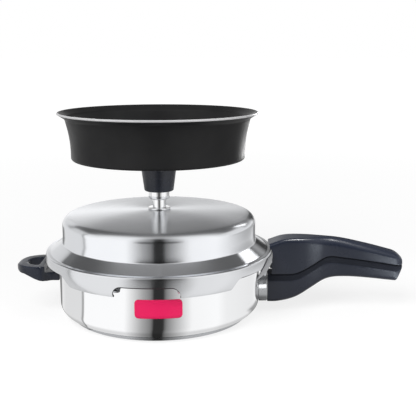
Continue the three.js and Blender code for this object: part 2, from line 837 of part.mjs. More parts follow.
// Loop handle: a rounded plan with a finger hole, cut to its curved side view and to its neighbours.
function sideHandle() {
  const rootX = -potRadius - loopRoot;
  const neckX = -potRadius - loopNeck;
  const swellX = (rootX + neckX) / 2;
  const plan = new THREE.Shape();
  plan.moveTo(-potRadius / 2, -loopNeckHalf);
  plan.lineTo(-potRadius / 2, loopNeckHalf);
  plan.lineTo(neckX, loopNeckHalf);
  plan.bezierCurveTo(swellX, loopNeckHalf, swellX, loopHalf, rootX, loopHalf);
  plan.absellipse(rootX, 0, loopReach - loopRoot, loopHalf, Math.PI / 2, 1.5 * Math.PI);
  plan.bezierCurveTo(swellX, -loopHalf, swellX, -loopNeckHalf, neckX, -loopNeckHalf);
  plan.closePath();
  const hole = new THREE.Path();
  hole.absellipse(
    rootX,
    0,
    loopReach - loopRoot - loopBar,
    loopHalf - loopBar,
    Math.PI / 2,
    1.5 * Math.PI,
  );
  hole.closePath();
  plan.holes.push(hole);
  const [top, rootZ, tipZ] = [loopTopDrop, loopRootDrop, loopTipDrop].map((drop) => potHeight - drop);
  const [noseX, bendX] = [loopNose - loopTipX, rootX + loopBar];
  const noseZ = (top + tipZ) / 2;
  const side = new THREE.Shape();
  side.moveTo(-potRadius / 2, top);
  side.lineTo(noseX, top);
  side.quadraticCurveTo(-loopTipX, top, -loopTipX, noseZ);
  side.quadraticCurveTo(-loopTipX, tipZ, noseX, tipZ);
  side.bezierCurveTo((noseX + rootX) / 2, tipZ, rootX, rootZ, bendX, rootZ);
  side.lineTo(-potRadius / 2, rootZ);
  side.closePath();
  const lidRoom = drum(skirtRadius + sweepGap, lugFoot - sweepGap, 2 * potHeight, round);
  const [slotEnd, padEnd] = [-potRadius - loopBarReach - seat, -potRadius - padThick / 2 - seat];
  const slot = bar(-potRadius / 2, slotEnd, barHalf + seat, loopBarZ, loopBarThick + 2 * seat);
  const padSlot = bar(-potRadius / 2, padEnd, padHalf + seat, loopBarZ, 2 * (padThick + seat));
  return raised(plan, 0, 2 * potHeight)
    .intersect(cheek(side, 2 * loopHalf))
    .subtract(potSweep())
    .subtract(lidRoom)
    .subtract(slot)
    .subtract(padSlot)
    .subtract(screwHole(loopScrewX, loopScrewLow, loopScrewHigh, 0));
}

// Finishes
function finish(color, roughness, metalness) {
  return { color, roughness, metalness };
}

const polishedSteel = finish(0xd8dade, 0.12, 1);
const satinSteel = finish(0xb4b6ba, 0.35, 1);
const aluminium = finish(0xc2c4c8, 0.45, 1);
const brass = finish(0xb59a5a, 0.3, 1);
const bakelite = finish(0x2e313a, 0.32, 0);
const darkCoat = finish(0x262627, 0.4, 0.2);
const rubber = finish(0x3a3a3c, 0.8, 0);
const fusible = finish(0x8d9096, 0.5, 1);

// A named piece of the assembly.
function piece(group, name, solid, look) {
  const mesh = new THREE.Mesh(toGeometry(solid), new THREE.MeshStandardMaterial(look));
  mesh.name = name;
  group.add(mesh);
}

const pressurePan = new THREE.Group();
const pot = new THREE.Group();
const lid = new THREE.Group();
const plug = plugPlace();
const weight = new THREE.Group();
const washerTop = lidTopZ - lidSheet - seat;
const plugWasherTop = -lidSheet - seat;
pressurePan.add(pot, lid, weight);
lid.add(plug);

piece(pot, "pot_body", potBody(), polishedSteel);
piece(pot, "base_core", baseCore(), aluminium);
piece(pot, "base_cover", baseCover(), satinSteel);
piece(pot, "pot_handle_bracket", potHandleBracket(), satinSteel);
piece(pot, "flame_guard", flameGuard(), polishedSteel);
piece(pot, "pot_handle", potHandle(), bakelite);
piece(pot, "pot_handle_screw", screw(barScrewX, barScrewLow, barScrewHigh), satinSteel);
piece(pot, "side_handle_bracket", sideHandleBracket(), satinSteel);
piece(pot, "side_handle", sideHandle(), bakelite);
piece(pot, "side_handle_screw", screw(loopScrewX, loopScrewLow, loopScrewHigh), satinSteel);

piece(lid, "lid_shell", lidShell(plug.matrix), polishedSteel);
piece(lid, "lid_gasket", gasket(), rubber);
piece(lid, "vent_tube", ventTube(), polishedSteel);
piece(
  lid,
  "vent_washer",
  washer(ventShank + seat, ventShank + washerWidth, washerTop, washerHeight),
  rubber,
);
piece(lid, "vent_nut", nut(nutFlats, ventShank + seat, washerTop - washerHeight - seat, nutHeight), brass);
piece(lid, "lid_handle_bracket", lidHandleBracket(), satinSteel);
piece(lid, "lid_handle", lidHandle(), bakelite);
piece(lid, "lid_handle_screw", screw(tongueScrewX, tongueScrewLow, tongueScrewHigh), satinSteel);

piece(plug, "safety_plug", plugBody(), brass);
piece(
  plug,
  "safety_plug_slug",
  drum(slugRadius, -lidSheet, seat + plugHeadHeight, roundSmall),
  fusible,
);
piece(
  plug,
  "safety_plug_washer",
  washer(plugShank + seat, plugShank + washerWidth, plugWasherTop, washerHeight),
  rubber,
);
piece(
  plug,
  "safety_plug_nut",
  nut(plugNutFlats, plugShank + seat, plugWasherTop - washerHeight - seat, nutHeight),
  brass,
);

piece(weight, "weight_core", weightCore(), polishedSteel);
piece(weight, "weight_needle", weightNeedle(), satinSteel);
piece(weight, "weight_cap", weightCap(), bakelite);
piece(pressurePan, "inner_pan", innerPan(), darkCoat);

export default pressurePan;
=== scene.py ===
# A stovetop pressure pan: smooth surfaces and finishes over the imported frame.
import json
import math

import bmesh
import bpy
from mathutils import Matrix, Vector


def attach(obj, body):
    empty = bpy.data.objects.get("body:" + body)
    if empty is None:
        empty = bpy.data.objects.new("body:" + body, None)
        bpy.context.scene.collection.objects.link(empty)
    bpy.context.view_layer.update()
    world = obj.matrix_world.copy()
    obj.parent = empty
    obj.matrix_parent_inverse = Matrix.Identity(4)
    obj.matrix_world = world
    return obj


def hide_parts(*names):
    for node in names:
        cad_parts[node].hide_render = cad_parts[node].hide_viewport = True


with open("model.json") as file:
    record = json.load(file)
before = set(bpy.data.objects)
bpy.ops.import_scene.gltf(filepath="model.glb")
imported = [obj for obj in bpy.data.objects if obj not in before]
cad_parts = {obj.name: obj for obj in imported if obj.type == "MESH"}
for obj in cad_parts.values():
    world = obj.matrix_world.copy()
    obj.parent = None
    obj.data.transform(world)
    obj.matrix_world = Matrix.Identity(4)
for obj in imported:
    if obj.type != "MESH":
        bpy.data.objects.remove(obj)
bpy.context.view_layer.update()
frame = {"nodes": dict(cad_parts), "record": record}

MM = 0.001

# Sizes in millimetres, as in the solids
SEAT = 0.3
HANDLE_GAP = 0.8
POT_RADIUS = 100
POT_HEIGHT = 60
POT_SHEET = 1.6
POT_CORNER = 11
RIM_LAND = 2.3
PETAL_RADIUS = 105.5
PETAL_FOOT = 49.5
PETAL_ANGLE = 28
BASE_RADIUS = 89
BASE_HEIGHT = 4.2
BASE_ROUND = 1.2
COVER_SHEET = 0.8
COVER_TOP = 3
LUG_COUNT = 6
LUG_ANGLE = 27.5
LUG_PHASE = -3
LUG_INNER = 103
LUG_FOOT = 46
ARCH_RISE = 10
ARCH_CORNER = 9.5
EDGE_BEVEL = 1.7
LID_SHEET = 1.6
SKIRT_RADIUS = 112.8
SKIRT_TUCK = 5.7
SKIRT_CURL = 14
CURL_TOP = LUG_FOOT + SKIRT_CURL
CURL_RADIUS = (SKIRT_CURL**2 + SKIRT_TUCK**2) / (2 * SKIRT_TUCK)
CREASE_Z = 66.6
CREASE_ROUND = 1.8
CREASE_LAND = 4.2
LAND_RISE = 0.3
SKIRT_LEAN = 0.75
FLANGE_Z = 75.2
FLANGE_FILLET = 1.5
FOOT_RISE = 8
FOOT_FLARE = 0.7
LID_RADIUS = 95.7
LID_EDGE_Z = 99.8
LID_TOP_Z = 105.2
SHOULDER_ROUND = 8.5
DOME_FLAT = 15
VENT_LOW = 96.3
VENT_SHANK = 4.7
VENT_FOOT = 11
VENT_FOOT_HEIGHT = 1.4
VENT_BODY = 6.5
VENT_BODY_TOP = 115.4
VENT_STEM = 4.2
VENT_TOP = 129.4
VENT_BORE = 1.6
WEIGHT_FOOT = 115.7
WEIGHT_SHOULDER = 123.3
WEIGHT_SKIRT = 10.4
WEIGHT_NECK = 8.8
WEIGHT_TOP = 147.8
WEIGHT_BORE = VENT_STEM + 0.8
WEIGHT_BORE_TOP = VENT_TOP + 3.4
NEEDLE_ROOM = 2.5
NEEDLE_ROOM_TOP = VENT_TOP + 12.7
CAP_FOOT_Z = 123.6
CAP_TOP_Z = 155.5
CAP_FOOT = 14.4
CAP_TOP = 18.7
PAN_FLOOR_Z = 155.8
PAN_RADIUS = 85
PAN_CORNER = 2.8
PAN_SHEET = 1.8
PAN_STRAIGHT = 19
PAN_FLARE_HEIGHT = 20.9
PAN_FLARE = 5.1
PAN_RIM_REACH = 7.3
PAN_RIM_RISE = 4.6
PAN_BEND = 105
PAN_BARE = 0.87
PAN_LIP_BULGE = 0.35
TIP_X = 243.79

# Mesh fineness
ROUND = 240
ROUND_SMALL = 64
CORNER_STEPS = 10


# Outlines
def rounded(corners, steps=CORNER_STEPS):
    """The line through corners of (distance, height, radius), with an arc wherever a radius is given."""
    line = []
    for i, (x, z, radius) in enumerate(corners):
        here = Vector((x, z))
        if not radius:
            line.append(here)
            continue
        back = (Vector(corners[i - 1][:2]) - here).normalized()
        onward = (Vector(corners[i + 1][:2]) - here).normalized()
        half = math.acos(max(-1, min(1, back.dot(onward)))) / 2
        centre = here + (back + onward).normalized() * (radius / math.sin(half))
        first = here + back * (radius / math.tan(half)) - centre
        last = here + onward * (radius / math.tan(half)) - centre
        turn = math.atan2(first.x * last.y - first.y * last.x, first.dot(last))
        for step in range(steps + 1):
            line.append(centre + Matrix.Rotation(turn * step / steps, 2) @ first)
    return line


def offset(line, distance):
    """The line moved sideways, to its left for a positive distance."""
    normals = []
    for a, b in zip(line, line[1:]):
        along = (b - a).normalized()
        normals.append(Vector((-along.y, along.x)))
    moved = []
    for i, point in enumerate(line):
        before, after = normals[max(i - 1, 0)], normals[min(i, len(normals) - 1)]
        moved.append(point + (before + after) * (distance / (1 + before.dot(after))))
    return moved


def spread(low, high, steps):
    return [low + (high - low) * i / steps for i in range(steps + 1)]


def guide(places):
    """A smooth value along X through a list of places."""
    slopes = [(b[1] - a[1]) / (b[0] - a[0]) for a, b in zip(places, places[1:])]
    middle = [(a + b) / 2 for a, b in zip(slopes, slopes[1:])]
    tangents = [slopes[0], *middle, slopes[-1]]

    def value(x):
        last = len(places) - 2
        i = next((k for k in range(last) if x < places[k + 1][0]), last)
        (x0, v0), (x1, v1) = places[i], places[i + 1]
        d = x1 - x0
        p = (x - x0) / d
        bend = tangents[i] * (p**3 - 2 * p**2 + p) + tangents[i + 1] * (p**3 - p**2)
        return v0 * (2 * p**3 - 3 * p**2 + 1) + v1 * (3 * p**2 - 2 * p**3) + d * bend

    return value


def into(x, end, stretch):
    return max(0, min(1, (x - end + stretch) / stretch))


def nose(u):
    return 1 - math.sqrt(max(0, 1 - u * u))


# Meshes
def cleaned(bm):
    """Joins equal points, drops what has no face, and turns the faces outwards."""
    bmesh.ops.remove_doubles(bm, verts=bm.verts, dist=1e-7)
    bmesh.ops.delete(bm, geom=[e for e in bm.edges if not e.link_faces], context="EDGES")
    bmesh.ops.delete(bm, geom=[v for v in bm.verts if not v.link_faces], context="VERTS")
    bmesh.ops.recalc_face_normals(bm, faces=bm.faces)
    return bm


def columns(rings, closed=True):
    """A skin over rings of equally many points, in millimetres. It closes round on itself or has two ends."""
    bm = bmesh.new()
    rows = [[bm.verts.new(Vector(p) * MM) for p in ring] for ring in rings]
    count = len(rings[0])
    pairs = list(zip(rows, rows[1:])) + ([(rows[-1], rows[0])] if closed else [])
    for a, b in pairs:
        for i in range(count):
            k = (i + 1) % count
            bm.faces.new((a[i], b[i], b[k], a[k]))
    if not closed:
        bm.faces.new(rows[0])
        bm.faces.new(rows[-1])
    return cleaned(bm)


def spoke(outline, angle):
    c, s = math.cos(angle), math.sin(angle)
    return [(p.x * c, p.x * s, p.y) for p in outline]


def turned(outline, sides=ROUND):
    return columns([spoke(outline, 2 * math.pi * i / sides) for i in range(sides)])


def block(low, high):
    bm = bmesh.new()
    middle = (Vector(low) + Vector(high)) / 2 * MM
    size = (Vector(high) - Vector(low)) * MM
    place = Matrix.Translation(middle) @ Matrix.Diagonal((*size, 1))
    bmesh.ops.create_cube(bm, size=1, matrix=place)
    return bm


def drum(x, y, radius, low, high):
    outline = [Vector((0, low)), Vector((radius, low)), Vector((radius, high)), Vector((0, high))]
    bm = turned(outline, ROUND_SMALL)
    bmesh.ops.translate(bm, verts=bm.verts, vec=(x * MM, y * MM, 0))
    return bm


def extruded(points, low, high, place):
    """A flat outline drawn between two heights, with place turning (a, b, height) into a point."""
    return columns([[place(a, b, h) for a, b in points] for h in (low, high)], closed=False)


def plain_object(bm, name="scratch"):
    mesh = bpy.data.meshes.new(name)
    bm.to_mesh(mesh)
    bm.free()
    made = bpy.data.objects.new(name, mesh)
    bpy.context.scene.collection.objects.link(made)
    return made


def discard(made):
    mesh = made.data
    bpy.data.objects.remove(made)
    bpy.data.meshes.remove(mesh)


def settled(made):
    """The mesh of an object with its modifiers applied. The object goes."""
    bpy.context.view_layer.update()
    graph = bpy.context.evaluated_depsgraph_get()
    bm = bmesh.new()
    bm.from_mesh(made.evaluated_get(graph).to_mesh())
    discard(made)
    return bm


def combined(bm, others, operation="DIFFERENCE"):
    """One mesh cut by, or kept inside, others."""
    target = plain_object(bm)
    tools = [plain_object(other) for other in others]
    for tool in tools:
        change = target.modifiers.new("change", "BOOLEAN")
        change.object = tool
        change.operation = operation
        change.solver = "EXACT"
    result = settled(target)
    for tool in tools:
        discard(tool)
    return cleaned(result)


def piece(name, bm, body, material, replaces=(), sharp=35):
    """A finished piece that rides on a body."""
    for face in bm.faces:
        face.smooth = True
    made = plain_object(bm, name)
    made.data.set_sharp_from_angle(angle=math.radians(sharp))
    made.data.materials.append(material)
    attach(made, body)
    if replaces:
        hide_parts(*replaces)
    return made


def refinished(made, material, chosen):
    """Gives the faces that are chosen another material."""
    made.data.materials.append(material)
    for face in made.data.polygons:
        if chosen(face):
            face.material_index = len(made.data.materials) - 1


# Shader nodes
def built(tree, kind, links=None, **settings):
    """A new node of a tree with its settings, inputs and links."""
    made = tree.nodes.new(kind)
    for key, value in settings.items():
        setattr(made, key, value)
    for socket, value in (links or {}).items():
        if isinstance(value, bpy.types.NodeSocket):
            tree.links.new(value, made.inputs[socket])
        else:
            made.inputs[socket].default_value = value
    return made


def figure(tree, operation, a, b=0.0):
    return built(tree, "ShaderNodeMath", {0: a, 1: b}, operation=operation).outputs[0]


def ranged(tree, value, low, high, to_low=0.0, to_high=1.0):
    """A value carried from one range to another and held at its ends."""
    links = {"Value": value, "From Min": low, "From Max": high, "To Min": to_low, "To Max": to_high}
    return built(tree, "ShaderNodeMapRange", links).outputs["Result"]


def blended(tree, share, a, b, how="MIX"):
    links = {0: share, 6: a, 7: b}
    return built(tree, "ShaderNodeMix", links, data_type="RGBA", blend_type=how).outputs[2]


def off_axis(tree, x, y):
    """The distance of (x, y) from the pot's axis."""
    squares = [figure(tree, "POWER", value, 2.0) for value in (x, y)]
    return figure(tree, "SQRT", figure(tree, "ADD", *squares))


# Materials
class Nodes:
    """A material's nodes, with its main shader at hand."""

    def __init__(self, name, color, metallic, roughness):
        self.material = bpy.data.materials.new(name)
        self.material.use_nodes = True
        self.tree = self.material.node_tree
        self.shader = self.tree.nodes["Principled BSDF"]
        self.shader.inputs["Base Color"].default_value = (*color, 1)
        self.shader.inputs["Metallic"].default_value = metallic
        self.shader.inputs["Roughness"].default_value = roughness
        self.place = self.add("ShaderNodeTexCoord").outputs["Object"]

    def add(self, kind, links=None, **settings):
        return built(self.tree, kind, links, **settings)

    def math(self, operation, a, b=0.0):
        return figure(self.tree, operation, a, b)

    def noise(self, scale, detail=3.0, place=None):
        links = {"Vector": place or self.place, "Scale": scale, "Detail": detail}
        return self.add("ShaderNodeTexNoise", links).outputs["Fac"]

    def between(self, value, low, high, to_low, to_high):
        return ranged(self.tree, value, low, high, to_low, to_high)

    def mixed(self, share, a, b):
        return blended(self.tree, share, (*a, 1), (*b, 1))

    def set(self, socket, value):
        if isinstance(value, bpy.types.NodeSocket):
            self.tree.links.new(value, self.shader.inputs[socket])
        else:
            self.shader.inputs[socket].default_value = value

    def bump(self, height, strength, distance):
        links = {"Height": height, "Strength": strength, "Distance": distance}
        self.set("Normal", self.add("ShaderNodeBump", links).outputs["Normal"])

    def spun(self, fineness):
        """A place that changes along the radius and the height but not round the axis, and the height."""
        x, y, z = self.add("ShaderNodeSeparateXYZ", {0: self.place}).outputs
        radius = off_axis(self.tree, x, y)
        scaled = {i: self.math("MULTIPLY", value, fineness) for i, value in enumerate((radius, z))}
        return self.add("ShaderNodeCombineXYZ", scaled).outputs[0], z


RING_FINENESS = 2600


def steel(name, light, dark, roughness, spread_out):
    """Turned steel, whose fine rings blur what it mirrors up and down more than round."""
    nodes = Nodes(name, light, 1, roughness)
    lines, height = nodes.spun(RING_FINENESS)
    rings = nodes.noise(1, 2.0, lines)
    nodes.set("Base Color", nodes.mixed(nodes.noise(14), light, dark))
    nodes.set("Roughness", nodes.between(nodes.noise(28), 0.35, 0.75, roughness - 0.015, roughness + 0.02))
    nodes.bump(rings, 0.02, 0.0002)
    nodes.set("Anisotropic", spread_out)
    nodes.set("Anisotropic Rotation", 0.25)
    nodes.set("Tangent", nodes.add("ShaderNodeTangent", direction_type="RADIAL", axis="Z").outputs[0])
    return nodes, rings, height


def lid_steel(name):
    """Steel with a satin top, a polished wall and flange, and a duller skirt whose darker colour is painted
    shade, by height.
    """
    nodes, rings, height = steel(name, (0.89, 0.90, 0.92), (0.86, 0.87, 0.89), 0.12, 0.9)
    skirt = nodes.between(height, (CREASE_Z - 2) * MM, CREASE_Z * MM, 1, 0)
    top = nodes.between(height, (LID_EDGE_Z - 3) * MM, (LID_EDGE_Z - 0.5) * MM, 0, 1)
    satin = nodes.between(rings, 0.3, 0.7, 0.21, 0.27)
    dull = nodes.between(rings, 0.3, 0.7, 0.22, 0.27)
    plain = nodes.between(nodes.noise(28), 0.35, 0.75, 0.14, 0.18)
    wall = nodes.between(height, (FLANGE_Z - 1) * MM, (FLANGE_Z + 3) * MM, 0, 1)
    plain = nodes.math("ADD", plain, nodes.math("MULTIPLY", wall, 0.03))
    lower = nodes.add("ShaderNodeMix", {0: skirt, 2: plain, 3: dull}, data_type="FLOAT").outputs[0]
    whole = nodes.add("ShaderNodeMix", {0: top, 2: lower, 3: satin}, data_type="FLOAT").outputs[0]
    nodes.set("Roughness", whole)
    # The skirt's darker base colour is painted shade; its higher roughness is its duller finish.
    nodes.set("Base Color", nodes.mixed(skirt, (0.875, 0.89, 0.92), (0.735, 0.745, 0.765)))
    return nodes.material


def brushed_metal(name, light, dark, roughness, metallic=1):
    nodes = Nodes(name, light, metallic, roughness)
    stretched = nodes.add("ShaderNodeMapping", {"Vector": nodes.place, "Scale": (40, 900, 900)}).outputs[0]
    grain = nodes.noise(1, 4.0, stretched)
    nodes.set("Base Color", nodes.mixed(grain, light, dark))
    nodes.set("Roughness", nodes.between(grain, 0.3, 0.7, roughness - 0.06, roughness + 0.08))
    nodes.bump(grain, 0.05, 0.0002)
    return nodes.material


def moulded(name, light, dark, roughness, grain_scale, gloss=0.5):
    nodes = Nodes(name, light, 0, roughness)
    nodes.set("Specular IOR Level", gloss)
    cloud = nodes.noise(45, 4.0)
    nodes.set("Base Color", nodes.mixed(nodes.between(cloud, 0.35, 0.7, 0, 1), light, dark))
    nodes.set("Roughness", nodes.between(cloud, 0.3, 0.7, roughness - 0.05, roughness + 0.06))
    nodes.bump(nodes.noise(grain_scale, 2.0), 0.03, 0.0002)
    return nodes.material


STEEL = steel("polished_steel", (0.93, 0.935, 0.945), (0.90, 0.905, 0.915), 0.075, 0.6)[0].material
LID_STEEL = lid_steel("turned_lid_steel")
# The ferrule's steel is darker than the pot's as painted shade, for the shadowed floor and handle it mirrors.
FERRULE_PAINTED_SHADE = steel("ferrule_steel_painted_shade", (0.42, 0.425, 0.435), (0.38, 0.385, 0.395), 0.25, 0)[0].material
SATIN = brushed_metal("satin_steel", (0.62, 0.63, 0.65), (0.52, 0.53, 0.55), 0.28)
ALUMINIUM = brushed_metal("aluminium", (0.72, 0.73, 0.74), (0.62, 0.63, 0.64), 0.30)
BRASS = brushed_metal("brass", (0.62, 0.47, 0.22), (0.52, 0.38, 0.16), 0.28)
ALLOY = brushed_metal("fusible_alloy", (0.36, 0.37, 0.39), (0.28, 0.29, 0.31), 0.45)
BAKELITE = moulded("bakelite", (0.0128, 0.0158, 0.0262), (0.0106, 0.0134, 0.0224), 0.27, 1600, 0.34)
# The cap's bakelite is lighter than the handles' as painted light, making up for the pan's shade over it.
CAP_PAINTED_LIGHT = moulded("cap_bakelite_painted_light", (0.044, 0.050, 0.069), (0.038, 0.044, 0.061), 0.26, 1600, 0.4)
COAT = moulded("dark_coat", (0.0185, 0.0185, 0.019), (0.0155, 0.0155, 0.016), 0.34, 1100, 0.10)
# A dark matt finish painted as shade along the handle's split: the lid half's undersides and the pot half's
# top under it.
SPLIT_PAINTED_SHADE = moulded("split_painted_shade", (0.0165, 0.0180, 0.0235), (0.0138, 0.0152, 0.020), 0.6, 900, 0.05)
RUBBER = moulded("rubber", (0.040, 0.040, 0.042), (0.030, 0.030, 0.032), 0.7, 900)
# A dark matt finish painted on the arch edges as shade, where the skirt shadows the pot below it.
ARCH_EDGE_PAINTED_SHADE = moulded("arch_edge_shade", (0.055, 0.056, 0.060), (0.045, 0.046, 0.050), 0.6, 900, 0.1)
SADDLE_STEEL = brushed_metal("saddle_steel", (0.36, 0.365, 0.38), (0.29, 0.295, 0.31), 0.36)
BARE_RIM = brushed_metal("bare_rim", (0.80, 0.80, 0.81), (0.72, 0.72, 0.73), 0.42, 0.3)
LABEL = moulded("plain_label", (0.87, 0.018, 0.125), (0.84, 0.016, 0.118), 0.30, 700, 0.3)

# Pot and base
PITCH = 2 * math.pi / LUG_COUNT
PETAL_TAPER = 6.6
PETAL_RUN = 14


def taper(angle, middle, half, radius, run, power):
    """From 1 at the ends of a lug or petal to 0 where its full section begins."""
    return max(0, 1 - (half - abs(angle - middle)) * radius / run) ** power


def pot_outline(petal_foot=None):
    corners = [
        (0, BASE_HEIGHT, 0),
        (POT_RADIUS, BASE_HEIGHT, POT_CORNER),
        (POT_RADIUS, POT_HEIGHT - POT_SHEET, 0.8),
    ]
    reach = PETAL_RADIUS - POT_SHEET
    if petal_foot is None:
        line = rounded([*corners, (POT_RADIUS + RIM_LAND, POT_HEIGHT - POT_SHEET, 0)])
        inner = offset(line, POT_SHEET)
        spare = CORNER_STEPS + 1
        return [*line, *[line[-1]] * spare, *[inner[-1]] * spare, *inner[::-1]]
    line = rounded([*corners, (reach, POT_HEIGHT - POT_SHEET, 0.6), (reach, petal_foot, 0)])
    return [*line, *offset(line, POT_SHEET)[::-1]]


def pot_columns():
    made = []
    half = math.radians(PETAL_ANGLE) / 2
    for lug in range(LUG_COUNT):
        middle = math.radians(LUG_PHASE) + PITCH * lug
        for a in spread(middle - half, middle + half, 36):
            foot = PETAL_FOOT + PETAL_TAPER * taper(a, middle, half, PETAL_RADIUS, PETAL_RUN, 0.7)
            made.append(spoke(pot_outline(foot), a))
        made += [spoke(pot_outline(), a) for a in spread(middle + half, middle + PITCH - half, 20)]
    return made


piece("pot_shell", columns(pot_columns()), "pot", STEEL, ["pot_body"])

cover = rounded([(0, 0, 0), (BASE_RADIUS, 0, BASE_ROUND), (BASE_RADIUS, COVER_TOP, 0)])
cover = [*cover, *offset(cover, COVER_SHEET)[::-1]]
piece("base_plate", turned(cover), "pot", SATIN, ["base_cover"])
core = rounded(
    [
        (0, COVER_SHEET + SEAT, 0),
        (BASE_RADIUS - COVER_SHEET - SEAT, COVER_SHEET + SEAT, 1),
        (BASE_RADIUS - COVER_SHEET - SEAT, BASE_HEIGHT - SEAT, 0.4),
        (0, BASE_HEIGHT - SEAT, 0),
    ]
)
piece("base_disc", turned(core), "pot", ALUMINIUM, ["base_core"])

# Lid
dome = [
    (DOME_FLAT + (LID_RADIUS - DOME_FLAT) * s, LID_TOP_Z - (LID_TOP_Z - LID_EDGE_Z) * s**2, 0)
    for s in spread(0, 0.86, 16)
]


def wall_radius(z):
    """The lid's wall leans out a little towards its foot."""
    return LID_RADIUS + FOOT_FLARE * (max(0, FLANGE_Z + FOOT_RISE - z) / FOOT_RISE) ** 2


def skirt_radius(z):
    """The skirt leans in a little above its bend, and curls in below it."""
    above = max(0, z - CURL_TOP) / (CREASE_Z - CURL_TOP)
    below = min(0, z - CURL_TOP)
    return SKIRT_RADIUS - SKIRT_LEAN * above**2 - CURL_RADIUS + math.sqrt(CURL_RADIUS**2 - below**2)


ROOF = rounded(
    [
        (VENT_SHANK + SEAT, LID_TOP_Z, 0),
        *dome,
        (LID_RADIUS, LID_EDGE_Z, SHOULDER_ROUND),
        *[(wall_radius(z), z, 0) for z in spread(FLANGE_Z + FOOT_RISE, FLANGE_Z + 1.4, 8)],
        (wall_radius(FLANGE_Z), FLANGE_Z, FLANGE_FILLET),
        (skirt_radius(CREASE_Z) - CREASE_LAND, CREASE_Z + LAND_RISE, 2),
        (skirt_radius(CREASE_Z), CREASE_Z, CREASE_ROUND),
        *[(skirt_radius(z), z, 0) for z in spread(CREASE_Z - 2, CURL_TOP, 6)],
    ]
)
LIP_STEPS = 4
LIP_TAPER = 2.4
LIP_RUN = 7


def skirt_line(foot):
    return [*ROOF, *[Vector((skirt_radius(z), z)) for z in spread(CURL_TOP, foot, 16)[1:]]]


def lug_outline(reach):
    line = skirt_line(LUG_FOOT)
    line += [Vector((r, LUG_FOOT)) for r in spread(skirt_radius(LUG_FOOT), reach, LIP_STEPS)[1:]]
    return [*line, *offset(line, -LID_SHEET)[::-1]]


def arch_outline(edge, bevel):
    line, inner = skirt_line(edge + bevel), offset(skirt_line(edge), -LID_SHEET)
    return [*line, *[line[-1]] * LIP_STEPS, *[inner[-1]] * LIP_STEPS, *inner[::-1]]


def lid_columns():
    made = []
    half = math.radians(LUG_ANGLE) / 2
    bow = [(ARCH_CORNER * (1 - math.cos(a)), ARCH_CORNER * math.sin(a)) for a in spread(0, math.pi / 2, 10)]
    scale = ARCH_RISE / ARCH_CORNER
    for lug in range(LUG_COUNT):
        middle = math.radians(LUG_PHASE) + PITCH * lug
        for a in spread(middle - half, middle + half, 36):
            reach = LUG_INNER + LIP_TAPER * taper(a, middle, half, SKIRT_RADIUS, LIP_RUN, 2)
            made.append(spoke(lug_outline(reach), a))
        start, end = middle + half, middle + PITCH - half
        rise = [(start + d / SKIRT_RADIUS, LUG_FOOT + up * scale) for d, up in bow]
        fall = [(end - d / SKIRT_RADIUS, LUG_FOOT + up * scale) for d, up in bow[::-1]]
        level = [(a, LUG_FOOT + ARCH_RISE) for a in spread(rise[-1][0], fall[0][0], 16)[1:-1]]
        for a, edge in [*rise, *level, *fall]:
            made.append(spoke(arch_outline(edge, EDGE_BEVEL * (edge - LUG_FOOT) / ARCH_RISE), a))
    return made


ARCH_TOP = (LUG_FOOT + ARCH_RISE + EDGE_BEVEL) * MM


def arch_edge_shade(face):
    """Tells whether a face is the sheet's own edge along an arch, which gets a dark painted shade."""
    away = face.center.xy.normalized()
    outward = abs(face.normal.xy.dot(away))
    return face.center.z < ARCH_TOP and outward < 0.68 and abs(face.normal.z) < 0.93


lid_dome = piece("lid_dome", columns(lid_columns()), "lid", LID_STEEL, ["lid_shell"])
# The arch edges get painted shade.
refinished(lid_dome, ARCH_EDGE_PAINTED_SHADE, arch_edge_shade)

# Saddle plate on the skirt, under the hood of the long handle
SADDLE_HALF = math.radians(30)
SADDLE_SHOULDER = math.radians(10)
SADDLE_TOP = 64.2
SADDLE_DROP = 10
SADDLE_FOOT = 46.6
SADDLE_ROUND = 2.5
SADDLE_SHEET = 0.7
SADDLE_GAP = 0.05


def saddle_columns():
    made = []
    for a in spread(-SADDLE_HALF, SADDLE_HALF, 72):
        top = SADDLE_TOP - SADDLE_DROP * into(abs(a), SADDLE_HALF, SADDLE_SHOULDER) ** 1.3
        run = SADDLE_ROUND / SKIRT_RADIUS
        foot = SADDLE_FOOT + SADDLE_ROUND * nose(into(abs(a), SADDLE_HALF, run))
        outer = [Vector((skirt_radius(z) + SADDLE_GAP + SADDLE_SHEET, z)) for z in spread(top, foot, 20)]
        inner = [Vector((skirt_radius(z) + SADDLE_GAP, z)) for z in spread(foot, top, 20)]
        made.append(spoke([*outer, *inner], a))
    return made


piece("handle_saddle", columns(saddle_columns(), closed=False), "lid", SADDLE_STEEL)

# Vent tube and regulator weight
vent = rounded(
    [
        (VENT_BORE, VENT_LOW, 0),
        (VENT_SHANK, VENT_LOW, 0),
        (VENT_SHANK, LID_TOP_Z + SEAT, 0),
        (VENT_FOOT, LID_TOP_Z + SEAT, 0),
        (VENT_FOOT, LID_TOP_Z + SEAT + VENT_FOOT_HEIGHT, 0.6),
        (VENT_BODY, LID_TOP_Z + SEAT + VENT_FOOT_HEIGHT, 0.8),
        (VENT_BODY, VENT_BODY_TOP, 0.8),
        (VENT_STEM, VENT_BODY_TOP, 0.4),
        (VENT_STEM, VENT_TOP, 0.6),
        (VENT_BORE, VENT_TOP, 0),
    ],
    5,
)
piece("vent_pipe", turned(vent, ROUND_SMALL), "lid", STEEL, ["vent_tube"])

